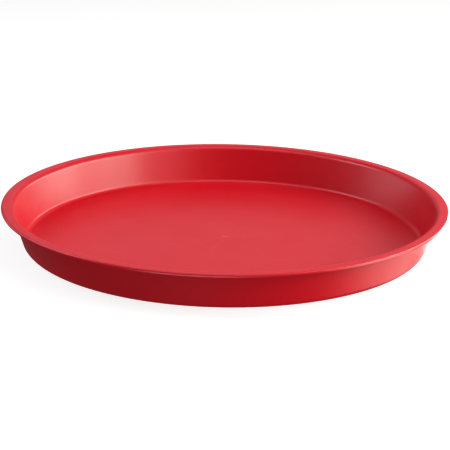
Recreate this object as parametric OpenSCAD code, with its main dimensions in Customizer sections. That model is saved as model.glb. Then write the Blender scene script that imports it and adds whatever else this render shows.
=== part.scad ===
// Round feed tray for chicks and small livestock: one moulded shell.
// A flat floor turns up into a flared wall, and the wall turns out into a lip whose
// outer edge turns down.
// The tray stands on the plane z = 0 and is round about the Z axis. Lengths are in
// millimetres and angles in degrees. The shell is one outline, drawn with the
// radius along X and the height along Y, and turned about the axis.

/* [Overall] */
// Diameter over the lip
rim_d = 400; // [300:1:500]
// Height from the ground to the top of the lip
tray_h = 36; // [25:0.1:60]

/* [Wall] */
// Lean of the wall away from upright
wall_lean = 17.1; // [5:0.1:30]
// Thickness of the wall, square to its face
wall_t = 1.8; // [1.2:0.1:2.5]

/* [Floor] */
// Thickness of the floor
floor_t = 1.8; // [1.2:0.1:3]
// Outside radius where the floor turns up into the wall
heel_r = 6.5; // [3:0.1:8]
// Inside radius where the floor meets the wall
corner_r = 4; // [1:0.1:6]

/* [Lip] */
// Reach of the lip past the wall's outer face
lip_w = 9.1; // [7:0.1:14]
// Thickness of the lip
lip_t = 1.8; // [1.2:0.1:2.4]
// Top radius where the wall turns out into the lip
bend_r = 5; // [3:0.1:8]
// Outer radius where the lip turns down at its edge
roll_r = 1.4; // [1:0.1:3.4]
// Height of the turned-down edge, from the lip's top to its lowest point
lip_drop = 2.7; // [2.6:0.1:7]
// Radius along the lowest edge
edge_r = 0.6; // [0.2:0.1:0.9]

/* [Gate mark] */
// Diameter of the low dome at the middle of the floor
gate_d = 7; // [4:0.5:12]
// Height of the dome, and depth of the matching well in the underside
gate_h = 0.4; // [0.2:0.05:0.8]

/* [Hidden] */
// Steps of the turn about the axis, and the angle that one step of an arc takes
$fn = 240;
arc_step = 6;

rim_r = rim_d / 2;
lip_z = tray_h - lip_t;
// Radii at which the wall's outer and inner faces, run on down, cross the ground
foot_out_r = rim_r - lip_w - lip_z * tan(wall_lean);
foot_in_r = foot_out_r - wall_t / cos(wall_lean);
// The bend keeps the wall's thickness, and the roll keeps the lip's
under_r = bend_r - wall_t;
roll_in_r = max(roll_r - lip_t, 0.2);
// The rounds of the lowest edge leave a flat between them
edge_round = min(edge_r, 0.45 * lip_t);
// The lowest edge lies far enough down for both the roll and its own rounds
drop = max(lip_drop, max(roll_r, lip_t + roll_in_r) + edge_round + 0.1);
// Directions square to the wall: away from the tray, and back into it
out_dir = -wall_lean;
in_dir = 180 - wall_lean;
// Distance from a sharp corner to where its round starts, per unit of radius
run = tan((90 - wall_lean) / 2);
// Sphere that the gate dome and its well are caps of, and half the cap's angle
gate_sphere_r = (pow(gate_d / 2, 2) + pow(gate_h, 2)) / (2 * gate_h);
gate_half = asin(gate_d / 2 / gate_sphere_r);

// Radius of a face of the wall at height z, from where it crosses the ground
function wall_at(foot, z) = foot + z * tan(wall_lean);

// Points of an arc about a centre, from one direction to another
function arc(centre, r, from, to) =
    let (steps = ceil(abs(to - from) / arc_step))
    [for (i = [0 : steps])
        let (angle = from + (to - from) * i / steps)
        centre + r * [cos(angle), sin(angle)]];

heel_c = [foot_out_r - heel_r * run, heel_r];
corner_c = [wall_at(foot_in_r, floor_t) - corner_r * run, floor_t + corner_r];
under_c = [wall_at(foot_out_r, lip_z) + under_r * run, lip_z - under_r];
bend_c = [wall_at(foot_in_r, tray_h) + bend_r * run, tray_h - bend_r];
roll_c = [rim_r - roll_r, tray_h - roll_r];
roll_in_c = [rim_r - lip_t - roll_in_r, lip_z - roll_in_r];
edge_z = tray_h - drop + edge_round;

// Outline of the shell: out along the underside, round the lip and back inside
function shell_outline() = concat(
    arc([0, gate_h - gate_sphere_r], gate_sphere_r, 90, 90 - gate_half),
    arc(heel_c, heel_r, -90, out_dir),
    arc(under_c, under_r, in_dir, 90),
    arc(roll_in_c, roll_in_r, 90, 0),
    arc([rim_r - lip_t + edge_round, edge_z], edge_round, -180, -90),
    arc([rim_r - edge_round, edge_z], edge_round, -90, 0),
    arc(roll_c, roll_r, 0, 90),
    arc(bend_c, bend_r, 90, in_dir),
    arc(corner_c, corner_r, out_dir, -90),
    arc([0, floor_t + gate_h - gate_sphere_r], gate_sphere_r, 90 - gate_half, 90)
);

module feed_tray() {
    color("firebrick")
        rotate_extrude()
            polygon(shell_outline());
}

feed_tray();
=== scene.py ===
"""Looks for the round poultry feed tray: one satin red moulding on a pale studio floor.

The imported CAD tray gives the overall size. A finer shell of the same section stands for it, with the
rounds, the gate mark and the slight unevenness of a real moulding, and is dressed in satin plastic.
Lengths are in metres and angles in degrees unless a name says otherwise.
"""

from __future__ import annotations

import logging
import math
from dataclasses import dataclass, field
from enum import Enum

import bmesh
import bpy
from mathutils import Matrix, Vector, noise

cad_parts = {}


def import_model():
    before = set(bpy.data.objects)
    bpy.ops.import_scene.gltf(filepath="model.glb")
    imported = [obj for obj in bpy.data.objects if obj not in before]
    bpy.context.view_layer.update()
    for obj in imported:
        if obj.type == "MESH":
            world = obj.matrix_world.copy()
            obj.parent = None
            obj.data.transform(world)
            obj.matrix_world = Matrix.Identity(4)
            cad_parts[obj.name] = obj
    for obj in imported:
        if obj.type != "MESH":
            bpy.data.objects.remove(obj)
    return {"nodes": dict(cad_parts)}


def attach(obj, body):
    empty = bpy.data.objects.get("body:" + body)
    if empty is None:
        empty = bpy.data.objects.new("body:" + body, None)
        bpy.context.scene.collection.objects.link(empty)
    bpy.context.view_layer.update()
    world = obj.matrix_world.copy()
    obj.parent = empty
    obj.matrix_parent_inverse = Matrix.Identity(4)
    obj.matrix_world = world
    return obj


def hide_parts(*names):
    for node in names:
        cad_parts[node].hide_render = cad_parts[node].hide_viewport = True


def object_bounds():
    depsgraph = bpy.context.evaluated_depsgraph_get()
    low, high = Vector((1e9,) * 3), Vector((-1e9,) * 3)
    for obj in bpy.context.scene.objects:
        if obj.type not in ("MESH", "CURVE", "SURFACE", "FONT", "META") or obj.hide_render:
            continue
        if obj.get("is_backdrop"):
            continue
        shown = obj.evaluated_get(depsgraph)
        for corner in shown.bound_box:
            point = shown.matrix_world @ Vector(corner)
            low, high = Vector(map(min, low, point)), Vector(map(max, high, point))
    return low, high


log = logging.getLogger("feed_tray")

MM = 0.001
Colour = tuple[float, float, float]
Point = tuple[float, float, float]
Socket = bpy.types.NodeSocket

WHITE: Colour = (1.0, 1.0, 1.0)
WARM: Colour = (1.0, 0.97, 0.88)
COOL: Colour = (0.90, 0.95, 1.0)


def link(target: bpy.types.Object) -> bpy.types.Object:
    """Put an object in the scene and return it."""
    bpy.context.scene.collection.objects.link(target)
    return target


def direction(azimuth: float, elevation: float) -> Vector:
    """Return the unit vector from the tray towards a direction.

    Args:
        azimuth: Degrees round from the camera's side, growing towards +X.
        elevation: Degrees above the floor.

    Returns:
        The unit vector.
    """
    turn, lift = math.radians(azimuth), math.radians(elevation)
    return Vector((math.sin(turn) * math.cos(lift), -math.cos(turn) * math.cos(lift), math.sin(lift)))


def fade(value: float, start: float, end: float) -> float:
    """Return a smooth step from 1 at start to 0 at end.

    Args:
        value: Where to read the step.
        start: The value up to which the step is 1.
        end: The value from which the step is 0.

    Returns:
        The step, from 0 to 1.
    """
    share = min(max((end - value) / (end - start), 0.0), 1.0)
    return share * share * (3.0 - 2.0 * share)


class Side(Enum):
    """The mould's two finishes, numbered as material places on the shell."""

    SATIN = 0
    UNDERSIDE = 1


class MouldedSkin:
    """The moulded skin that both finishes share, as one node group."""

    name = "moulded_skin"
    cloud_scale = 26.0
    flow_spread = 2.2
    flow_reach = 0.075
    # Reach of the painted highlight on the gate mark, a paler colour that stands for the nub's sheen.
    gate_highlight_reach = 5.0 * MM
    draw_lines = 38.0
    draw_from = 5.0 * MM
    grain_scale = 900.0
    grain_depth = 0.1 * MM

    def __init__(self) -> None:
        """Start the group's tree with its named inputs and outputs."""
        self.tree = bpy.data.node_groups.new(self.name, "ShaderNodeTree")
        for socket, kind, default in (
            ("Colour", "NodeSocketColor", (0.5, 0.0, 0.0, 1.0)),
            ("Deep Colour", "NodeSocketColor", (0.4, 0.0, 0.0, 1.0)),
            ("Gate Highlight Colour", "NodeSocketColor", (0.6, 0.1, 0.1, 1.0)),
            ("Mottle", "NodeSocketFloat", 0.5),
            ("Roughness", "NodeSocketFloat", 0.3),
            ("Roughness Change", "NodeSocketFloat", 0.06),
            ("Flow Marks", "NodeSocketFloat", 0.03),
            ("Draw Marks", "NodeSocketFloat", 0.03),
            ("Grain Height", "NodeSocketFloat", 0.05),
        ):
            item = self.tree.interface.new_socket(name=socket, in_out="INPUT", socket_type=kind)
            item.default_value = default
        for socket, kind in (
            ("Colour", "NodeSocketColor"),
            ("Roughness", "NodeSocketFloat"),
            ("Normal", "NodeSocketVector"),
        ):
            self.tree.interface.new_socket(name=socket, in_out="OUTPUT", socket_type=kind)
        self.given = self.tree.nodes.new("NodeGroupInput").outputs
        self.out = self.tree.nodes.new("NodeGroupOutput").inputs
        self.place = self.tree.nodes.new("ShaderNodeTexCoord").outputs["Object"]

    @classmethod
    def shared(cls) -> bpy.types.NodeTree:
        """Return the group's tree, built once.

        Returns:
            The node group. It puts out a colour, a roughness and a normal.
        """
        made = bpy.data.node_groups.get(cls.name)
        return made if made else cls().build()

    def math(self, operation: str, *values: Socket | float) -> Socket:
        """Add a Math node.

        Args:
            operation: The node's operation.
            values: Its inputs in order, each a socket or a number.

        Returns:
            The node's output.
        """
        node = self.tree.nodes.new("ShaderNodeMath")
        node.operation = operation
        for socket, value in zip(node.inputs, values):
            if isinstance(value, bpy.types.NodeSocket):
                self.tree.links.new(value, socket)
            else:
                socket.default_value = value
        return node.outputs[0]

    def noise(self, where: Socket, scale: float, detail: float) -> Socket:
        """Add a noise centred on nought.

        Args:
            where: The place to read it at.
            scale: The noise's scale.
            detail: The noise's detail.

        Returns:
            The noise, from about -0.5 to 0.5.
        """
        node = self.tree.nodes.new("ShaderNodeTexNoise")
        node.inputs["Scale"].default_value = scale
        node.inputs["Detail"].default_value = detail
        self.tree.links.new(where, node.inputs["Vector"])
        return self.math("SUBTRACT", node.outputs["Fac"], 0.5)

    def around(self) -> tuple[Socket, Socket, Socket]:
        """Split the place into its bearing from the axis, its radius and its height.

        Returns:
            The bearing as a unit vector, the radius and the height.
        """
        parts = self.tree.nodes.new("ShaderNodeSeparateXYZ")
        self.tree.links.new(self.place, parts.inputs[0])
        flat = self.tree.nodes.new("ShaderNodeCombineXYZ")
        self.tree.links.new(parts.outputs["X"], flat.inputs["X"])
        self.tree.links.new(parts.outputs["Y"], flat.inputs["Y"])
        length = self.tree.nodes.new("ShaderNodeVectorMath")
        length.operation = "LENGTH"
        self.tree.links.new(flat.outputs[0], length.inputs[0])
        bearing = self.tree.nodes.new("ShaderNodeVectorMath")
        bearing.operation = "NORMALIZE"
        self.tree.links.new(flat.outputs[0], bearing.inputs[0])
        return bearing.outputs["Vector"], length.outputs["Value"], parts.outputs["Z"]

    def build(self) -> bpy.types.NodeTree:
        """Join the mottling, the gate mark's painted highlight, the flow and draw marks and the grain to the
        outputs.

        Returns:
            The finished tree.
        """
        links = self.tree.links
        bearing, radius, height = self.around()
        cloud = self.noise(self.place, self.cloud_scale, 5.0)
        near_gate = self.tree.nodes.new("ShaderNodeMapRange")
        near_gate.interpolation_type = "SMOOTHSTEP"
        near_gate.inputs["From Min"].default_value = self.flow_reach
        near_gate.inputs["From Max"].default_value = 0.0
        links.new(radius, near_gate.inputs["Value"])
        flow = self.math(
            "MULTIPLY", self.noise(bearing, self.flow_spread, 2.0), near_gate.outputs["Result"],
        )
        on_wall = self.math("GREATER_THAN", height, self.draw_from)
        draw = self.math("MULTIPLY", self.noise(bearing, self.draw_lines, 2.0), on_wall)
        mix = self.tree.nodes.new("ShaderNodeMix")
        mix.data_type = "RGBA"
        links.new(self.math("MULTIPLY_ADD", cloud, self.given["Mottle"], 0.5), mix.inputs["Factor"])
        links.new(self.given["Colour"], mix.inputs["A"])
        links.new(self.given["Deep Colour"], mix.inputs["B"])
        # Painted highlight: near the axis the colour turns paler, standing in for the gate mark's sheen.
        painted_gate_highlight = self.tree.nodes.new("ShaderNodeMix")
        painted_gate_highlight.data_type = "RGBA"
        gate_highlight_mask = self.tree.nodes.new("ShaderNodeMapRange")
        gate_highlight_mask.interpolation_type = "SMOOTHSTEP"
        gate_highlight_mask.inputs["From Min"].default_value = self.gate_highlight_reach
        gate_highlight_mask.inputs["From Max"].default_value = 0.0
        links.new(radius, gate_highlight_mask.inputs["Value"])
        links.new(gate_highlight_mask.outputs["Result"], painted_gate_highlight.inputs["Factor"])
        links.new(mix.outputs["Result"], painted_gate_highlight.inputs["A"])
        links.new(self.given["Gate Highlight Colour"], painted_gate_highlight.inputs["B"])
        links.new(painted_gate_highlight.outputs["Result"], self.out["Colour"])
        rough = self.math("MULTIPLY_ADD", cloud, self.given["Roughness Change"], self.given["Roughness"])
        rough = self.math("MULTIPLY_ADD", flow, self.given["Flow Marks"], rough)
        rough = self.math("MULTIPLY_ADD", draw, self.given["Draw Marks"], rough)
        links.new(rough, self.out["Roughness"])
        bump = self.tree.nodes.new("ShaderNodeBump")
        bump.inputs["Distance"].default_value = self.grain_depth
        links.new(self.given["Grain Height"], bump.inputs["Strength"])
        links.new(self.noise(self.place, self.grain_scale, 2.0), bump.inputs["Height"])
        links.new(bump.outputs["Normal"], self.out["Normal"])
        return self.tree


@dataclass(frozen=True)
class RedPlastic:
    """One finish of the red polypropylene."""

    name: str
    colour: Colour = (0.51, 0.0022, 0.015)
    deep_colour: Colour = (0.47, 0.0018, 0.013)
    # Paler colour painted on the gate mark as its highlight.
    gate_highlight_colour: Colour = (0.58, 0.045, 0.04)
    mottle: float = 0.8
    roughness: float = 0.35
    roughness_change: float = 0.08
    flow_marks: float = 0.10
    draw_marks: float = 0.05
    grain_height: float = 0.05
    ior: float = 1.54

    def material(self) -> bpy.types.Material:
        """Build the material.

        Returns:
            The node material.
        """
        material = bpy.data.materials.new(self.name)
        material.use_nodes = True
        nodes, links = material.node_tree.nodes, material.node_tree.links
        shader = nodes["Principled BSDF"]
        shader.inputs["IOR"].default_value = self.ior
        skin = nodes.new("ShaderNodeGroup")
        skin.node_tree = MouldedSkin.shared()
        skin.inputs["Colour"].default_value = (*self.colour, 1.0)
        skin.inputs["Deep Colour"].default_value = (*self.deep_colour, 1.0)
        skin.inputs["Gate Highlight Colour"].default_value = (*self.gate_highlight_colour, 1.0)
        skin.inputs["Mottle"].default_value = self.mottle
        skin.inputs["Roughness"].default_value = self.roughness
        skin.inputs["Roughness Change"].default_value = self.roughness_change
        skin.inputs["Flow Marks"].default_value = self.flow_marks
        skin.inputs["Draw Marks"].default_value = self.draw_marks
        skin.inputs["Grain Height"].default_value = self.grain_height
        links.new(skin.outputs["Colour"], shader.inputs["Base Color"])
        links.new(skin.outputs["Roughness"], shader.inputs["Roughness"])
        links.new(skin.outputs["Normal"], shader.inputs["Normal"])
        return material


@dataclass
class TrayShell:
    """The moulded tray, turned from one outline about the upright axis."""

    rim_radius: float
    height: float
    wall_lean: float = 17.1
    wall: float = 1.8 * MM
    floor: float = 1.8 * MM
    lip_reach: float = 9.1 * MM
    lip: float = 1.8 * MM
    heel_round: float = 6.5 * MM
    corner_round: float = 4.0 * MM
    bend_round: float = 5.0 * MM
    roll_round: float = 1.4 * MM
    roll_inside: float = 0.2 * MM
    lip_drop: float = 2.7 * MM
    edge_round: float = 0.6 * MM
    gate_radius: float = 3.5 * MM
    gate_rise: float = 0.4 * MM
    wave_height: float = 0.12 * MM
    wave_length: float = 65.0 * MM
    wave_fade_from: float = 0.7
    turn_steps: int = 256
    round_steps: int = 8
    ring_gap: float = 5.0 * MM
    gate_ring_gap: float = 0.5 * MM
    merge_gap: float = 0.001 * MM
    support: float = 0.4 * MM
    shortest_divided: float = 2.5 * MM
    finishes: dict[Side, RedPlastic] = field(
        default_factory=lambda: {
            Side.SATIN: RedPlastic("satin_red"),
            Side.UNDERSIDE: RedPlastic("underside_red", roughness=0.42, grain_height=0.12, draw_marks=0.0),
        }
    )
    name: str = "feed_tray_shell"

    def wall_radius(self, foot: float, height: float) -> float:
        """Return the radius of a face of the wall at a height.

        Args:
            foot: Radius at which the face would cross the ground.
            height: Height above the ground.

        Returns:
            The radius.
        """
        return foot + height * math.tan(math.radians(self.wall_lean))

    def foot_inside(self) -> float:
        """Return the radius at which the wall's inner face would cross the ground."""
        return self.foot() - self.wall / math.cos(math.radians(self.wall_lean))

    def foot(self) -> float:
        """Return the radius at which the wall's outer face would cross the ground."""
        lip_under = self.height - self.lip
        return self.rim_radius - self.lip_reach - lip_under * math.tan(math.radians(self.wall_lean))

    def round_corner(self, bm: bmesh.types.BMesh, corner: bmesh.types.BMVert, radius: float) -> None:
        """Round one corner of the outline to an arc.

        Args:
            bm: The outline's mesh.
            corner: The sharp corner, with one edge on each side.
            radius: Radius of the arc.
        """
        before, after = (edge.other_vert(corner).co - corner.co for edge in corner.link_edges)
        turn = math.pi - before.angle(after)
        bmesh.ops.bevel(
            bm, geom=[corner], offset=radius * math.tan(turn / 2), offset_type="OFFSET",
            segments=self.round_steps, profile=0.5, affect="VERTICES", material=-1,
        )

    def divide(self, bm: bmesh.types.BMesh, edge: bmesh.types.BMEdge) -> None:
        """Divide one straight of the outline, with a short step at each end to keep it flat.

        Args:
            bm: The outline's mesh.
            edge: The straight's edge.
        """
        for end in tuple(edge.verts):
            _, step = bmesh.utils.edge_split(edge, end, self.support / edge.calc_length())
            edge = max(step.link_edges, key=lambda piece: piece.calc_length())
        in_gate = max(vert.co.x for vert in edge.verts) < 2 * self.gate_radius
        cuts = int(edge.calc_length() / (self.gate_ring_gap if in_gate else self.ring_gap))
        bmesh.ops.subdivide_edges(bm, edges=[edge], cuts=cuts)

    def outline(self, bm: bmesh.types.BMesh) -> None:
        """Draw the half section in the XZ plane, from the axis under the floor round to the axis above it.

        Args:
            bm: An empty mesh, which receives the outline.
        """
        lip_under = self.height - self.lip
        edge_low = self.height - self.lip_drop
        foot, foot_inside = self.foot(), self.foot_inside()
        gate_end = self.gate_radius + self.gate_ring_gap
        corners = [
            (0.0, 0.0, 0.0),
            (gate_end, 0.0, 0.0),
            (foot, 0.0, self.heel_round),
            (self.wall_radius(foot, lip_under), lip_under, self.bend_round - self.wall),
            (self.rim_radius - self.lip, lip_under, self.roll_inside),
            (self.rim_radius - self.lip, edge_low, self.edge_round),
            (self.rim_radius, edge_low, self.edge_round),
            (self.rim_radius, self.height, self.roll_round),
            (self.wall_radius(foot_inside, self.height), self.height, self.bend_round),
            (self.wall_radius(foot_inside, self.floor), self.floor, self.corner_round),
            (gate_end, self.floor, 0.0),
            (0.0, self.floor, 0.0),
        ]
        verts = [bm.verts.new((radius, 0.0, height)) for radius, height, _ in corners]
        for pair in zip(verts, verts[1:]):
            bm.edges.new(pair)
        for vert, (_, _, radius) in zip(verts, corners):
            if radius:
                self.round_corner(bm, vert, radius)
        for edge in [edge for edge in bm.edges if edge.calc_length() > self.shortest_divided]:
            self.divide(bm, edge)

    def lift(self, place: Vector) -> float:
        """Return how far a point of the floor stands above its flat level.

        Args:
            place: A point on the floor's top or underside.

        Returns:
            The height of the gate mark, and on the top of the slight waves as well.
        """
        radius = math.hypot(place.x, place.y)
        rise = self.gate_rise * fade(radius, 0.0, self.gate_radius)
        if place.z > self.floor / 2:
            end = self.foot_inside() - self.corner_round
            wave = noise.noise(Vector((place.x, place.y, 0.0)) / self.wave_length)
            rise += self.wave_height * wave * fade(radius, self.wave_fade_from * end, end)
        return rise

    def build(self) -> bpy.types.Object:
        """Turn the outline into the closed shell, with its gate mark and unevenness.

        Returns:
            The shell's object, linked to the scene.
        """
        bm = bmesh.new()
        self.outline(bm)
        bmesh.ops.spin(
            bm, geom=bm.verts[:] + bm.edges[:], cent=(0, 0, 0), axis=(0, 0, 1), angle=math.tau,
            steps=self.turn_steps, use_merge=True,
        )
        bmesh.ops.remove_doubles(bm, verts=bm.verts[:], dist=self.merge_gap)
        bmesh.ops.recalc_face_normals(bm, faces=bm.faces[:])
        flat_end = self.foot_inside()
        for vert in bm.verts:
            if vert.co.z < 1.01 * self.floor and math.hypot(vert.co.x, vert.co.y) < flat_end:
                vert.co.z += self.lift(vert.co)
        for face in bm.faces:
            face.smooth = True
            below = face.calc_center_median().z < self.floor / 2
            face.material_index = (Side.UNDERSIDE if below else Side.SATIN).value
        mesh = bpy.data.meshes.new(self.name)
        bm.to_mesh(mesh)
        bm.free()
        return link(bpy.data.objects.new(self.name, mesh))

    def dress(self, shell: bpy.types.Object) -> None:
        """Give the shell its finishes.

        Args:
            shell: The built shell.
        """
        for side in Side:
            shell.data.materials.append(self.finishes[side].material())


@dataclass(frozen=True)
class SoftBox:
    """A soft rectangular light that faces the tray and isn't seen by the camera.

    A box with an elevation below nought lights the tray from under the floor's level.
    """

    name: str
    azimuth: float
    elevation: float
    power: float
    width: float = 0.6
    height: float = 0.4
    distance: float = 1.3
    colour: Colour = WHITE

    def place(self) -> bpy.types.Object:
        """Create the light.

        Returns:
            The light's object.
        """
        data = bpy.data.lights.new(self.name, "AREA")
        data.shape = "RECTANGLE"
        data.size, data.size_y = self.width, self.height
        data.energy = self.power
        data.color = self.colour
        lamp = link(bpy.data.objects.new(self.name, data))
        towards = direction(self.azimuth, self.elevation)
        lamp.matrix_world = (
            Matrix.Translation(towards * self.distance) @ towards.to_track_quat("Z", "Y").to_matrix().to_4x4()
        )
        lamp.visible_camera = False
        return lamp


@dataclass(frozen=True)
class StudioCamera:
    """A long lens in front of the tray, a little above it."""

    aim: Point = (0.3 * MM, 0.0, 13.0 * MM)
    distance: float = 1.4525
    elevation: float = 17.76
    roll: float = 0.853
    focal_length_mm: float = 128.45
    sensor_mm: float = 36.0

    def place(self) -> bpy.types.Object:
        """Create the camera and make it the scene's.

        Returns:
            The camera's object.
        """
        data = bpy.data.cameras.new("studio_camera")
        data.sensor_width = self.sensor_mm
        data.lens = self.focal_length_mm
        data.clip_start = 0.05
        camera = link(bpy.data.objects.new("studio_camera", data))
        back = direction(0.0, self.elevation)
        place = Matrix.Translation(Vector(self.aim) + back * self.distance)
        turn = (-back).to_track_quat("-Z", "Y").to_matrix().to_4x4()
        camera.matrix_world = place @ turn @ Matrix.Rotation(math.radians(self.roll), 4, "Z")
        bpy.context.scene.camera = camera
        return camera


@dataclass(frozen=True)
class StudioFloor:
    """A plain pale floor, round and wide, that shows in the view but throws no light back."""

    radius: float = 6.0
    pale: float = 0.30
    glow: float = 0.92
    roughness: float = 0.9
    segments: int = 64

    def build(self) -> bpy.types.Object:
        """Create the floor.

        Returns:
            The floor's object.
        """
        bm = bmesh.new()
        bmesh.ops.create_circle(bm, cap_ends=True, segments=self.segments, radius=self.radius)
        mesh = bpy.data.meshes.new("studio_floor")
        bm.to_mesh(mesh)
        bm.free()
        material = bpy.data.materials.new("pale_floor")
        material.use_nodes = True
        shader = material.node_tree.nodes["Principled BSDF"]
        shader.inputs["Base Color"].default_value = (self.pale, self.pale, self.pale, 1.0)
        shader.inputs["Roughness"].default_value = self.roughness
        shader.inputs["Specular IOR Level"].default_value = 0.0
        shader.inputs["Emission Color"].default_value = (*WHITE, 1.0)
        shader.inputs["Emission Strength"].default_value = self.glow
        mesh.materials.append(material)
        floor = link(bpy.data.objects.new("studio_floor", mesh))
        floor.visible_diffuse = False
        floor.visible_glossy = False
        floor.visible_transmission = False
        floor.visible_shadow = False
        return floor


@dataclass(frozen=True)
class ToneCurve:
    """How the picture answers to light: deeper darks and a gentle top."""

    white: float = 1.2
    steps: tuple[tuple[float, float], ...] = (
        (0.06, 0.034), (0.12, 0.078), (0.30, 0.235), (0.55, 0.49), (0.85, 0.77),
    )

    def apply(self, view: bpy.types.ColorManagedViewSettings) -> None:
        """Set the curve on the scene's view.

        Args:
            view: The scene's view settings.
        """
        view.view_transform = "Standard"
        view.use_curve_mapping = True
        view.curve_mapping.white_level = (self.white, self.white, self.white)
        points = view.curve_mapping.curves[3].points
        for light, shown in self.steps:
            points.new(light / self.white, shown)
        view.curve_mapping.update()


@dataclass
class Studio:
    """Everything round the tray: floor, backdrop, soft lights and camera."""

    backdrop: float = 1.2
    ambient: float = 0.15
    boxes: tuple[SoftBox, ...] = (
        SoftBox("key", 86, 25, 21.8, width=1.2, height=0.45, colour=WARM),
        SoftBox("key_back_strip", 124, 12, 8.8, width=1.0, height=0.25, colour=WARM),
        SoftBox("right_high", 62, 48, 3.6, width=0.8, height=0.5),
        SoftBox("right_front", 40, 30, 2.4),
        SoftBox("right_back_high", 120, 48, 0.9, width=0.8, height=0.5),
        SoftBox("table_right", 78, -14, 9.6, width=1.1, height=0.3, colour=WARM),
        SoftBox("table_right_low", 98, -32, 3.5, width=1.5, height=0.4, colour=WARM),
        SoftBox("table_back_right", 140, -14, 10.0, width=0.5, height=0.3, colour=WARM),
        SoftBox("table_front", 345, -14, 6.6, width=1.0, height=0.3),
        SoftBox("back", 180, 18, 0.51, width=1.0, height=0.3),
        SoftBox("back_high", 180, 34, 0.87, width=1.0, height=0.3),
        SoftBox("left_high", 262, 38, 7.6, width=0.8, height=0.4, colour=COOL),
        SoftBox("left_low", 247, 10, 2.8, width=1.0, height=0.3, colour=COOL),
        SoftBox("left_top", 300, 62, 1.9, width=0.8, height=0.5, colour=COOL),
        SoftBox("overhead", 0, 90, 4.9, width=0.8, height=0.8),
    )
    camera: StudioCamera = StudioCamera()
    floor: StudioFloor = StudioFloor()
    tone: ToneCurve = ToneCurve()

    def backdrop_world(self) -> bpy.types.World:
        """Make the world: white to the camera, and a faint even light on the tray.

        Returns:
            The world.
        """
        world = bpy.data.worlds.new("studio_world")
        world.use_nodes = True
        nodes, links = world.node_tree.nodes, world.node_tree.links
        seen = nodes.new("ShaderNodeLightPath")
        level = nodes.new("ShaderNodeMapRange")
        level.inputs["To Min"].default_value = self.ambient
        level.inputs["To Max"].default_value = self.backdrop
        links.new(seen.outputs["Is Camera Ray"], level.inputs["Value"])
        links.new(level.outputs["Result"], nodes["Background"].inputs["Strength"])
        nodes["Background"].inputs["Color"].default_value = (*WHITE, 1.0)
        return world

    def build(self) -> None:
        """Set the floor, the world, the lights and the camera."""
        floor = self.floor.build()
        floor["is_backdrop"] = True
        scene = bpy.context.scene
        scene.world = self.backdrop_world()
        self.tone.apply(scene.view_settings)
        for box in self.boxes:
            box.place()
        self.camera.place()
        log.info("studio: floor %s, %d soft lights, camera", floor.name, len(self.boxes))


def main() -> None:
    """Build the tray and its studio."""
    logging.basicConfig(level=logging.INFO, format="%(name)s: %(message)s")
    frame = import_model()
    cad_low, cad_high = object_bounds()
    size = cad_high - cad_low
    log.info("frame: %d CAD node(s), %.1f x %.1f x %.1f mm", len(frame["nodes"]), *(size / MM))
    tray = TrayShell(rim_radius=min(size.x, size.y) / 2, height=size.z)
    shell = tray.build()
    tray.dress(shell)
    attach(shell, "root")
    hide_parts("feed_tray")
    log.info("%s: %d faces, for feed_tray", shell.name, len(shell.data.polygons))
    Studio().build()


if __name__ == "__main__":
    main()
